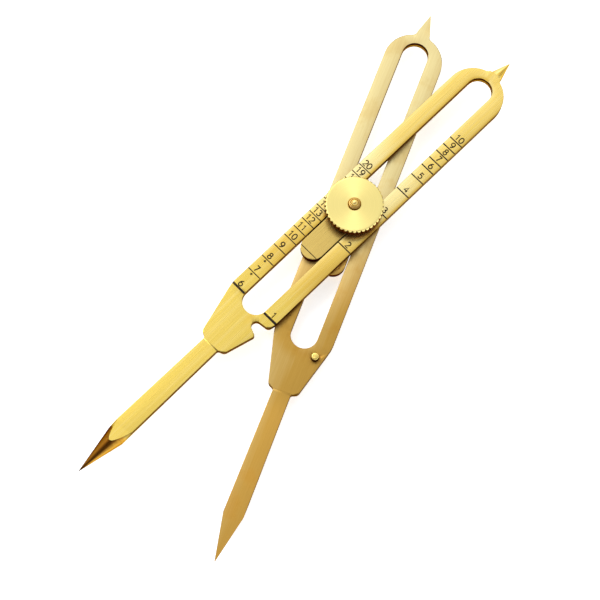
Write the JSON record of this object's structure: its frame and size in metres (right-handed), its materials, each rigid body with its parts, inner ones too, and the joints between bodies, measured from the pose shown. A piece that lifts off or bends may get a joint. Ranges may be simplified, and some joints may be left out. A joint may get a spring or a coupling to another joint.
{
  "type": "proportional divider",
  "caption": "Brass proportional divider: two slotted double-pointed legs on a sliding pivot, clamped by a knurled thumb nut.",
  "frame": {"origin": "centre of the flat rear face of the pivot bolt's head, on the pivot's axis", "axes": "+X along the front leg towards its short point, +Z along the pivot's axis towards the thumb nut"},
  "size_m": [0.203, 0.0862, 0.0171],
  "materials": {
    "front_leg_brass": "polished brass with fine lengthwise brushing",
    "back_leg_brass": "satin brass",
    "pin_brass": "polished brass",
    "slider_brass": "satin brass",
    "turned_brass": "turned brass",
    "washer_brass": "satin brass",
    "nut_brass": "turned brass face with a straight knurled rim"
  },
  "bodies": {
    "pivot": {"pivot_bolt": "turned_brass", "back_slider": "slider_brass", "rear_washer": "washer_brass"},
    "back_leg": {"back_leg": "back_leg_brass", "alignment_pin": "pin_brass"},
    "front_slider": {"front_slider": "slider_brass"},
    "front_leg": {"front_leg": "front_leg_brass"},
    "clamp_washer": {"clamp_washer": "washer_brass"},
    "thumb_nut": {"thumb_nut": "nut_brass"}
  },
  "joints": [
    {"name": "leg_opening", "type": "hinge", "parent": "pivot", "child": "front_slider", "pos_m": [0, 0, 0.0076], "axis": [0, 0, -1], "range_deg": [-24.3, 110.7]},
    {"name": "front_leg_slide", "type": "slide", "parent": "front_slider", "child": "front_leg", "axis": [-1, 0, 0], "range_m": [-0.0265, 0.0585]},
    {"name": "back_leg_slide", "type": "slide", "parent": "pivot", "child": "back_leg", "axis": [-0.9114, -0.4115, 0], "range_m": [-0.0265, 0.0585]},
    {"name": "washer_lift", "type": "slide", "parent": "pivot", "child": "clamp_washer", "axis": [0, 0, 1], "range_m": [0, 0.00071]},
    {"name": "nut_turn", "type": "hinge", "parent": "clamp_washer", "child": "thumb_nut", "pos_m": [0, 0, 0.0124], "axis": [0, 0, 1], "range_deg": [0, 360]}
  ],
  "couplings": [
    {"joint": "back_leg_slide", "follows": "front_leg_slide", "ratio": 1},
    {"joint": "washer_lift", "follows": "nut_turn", "m_per_rad": 0.00011141}
  ]
}
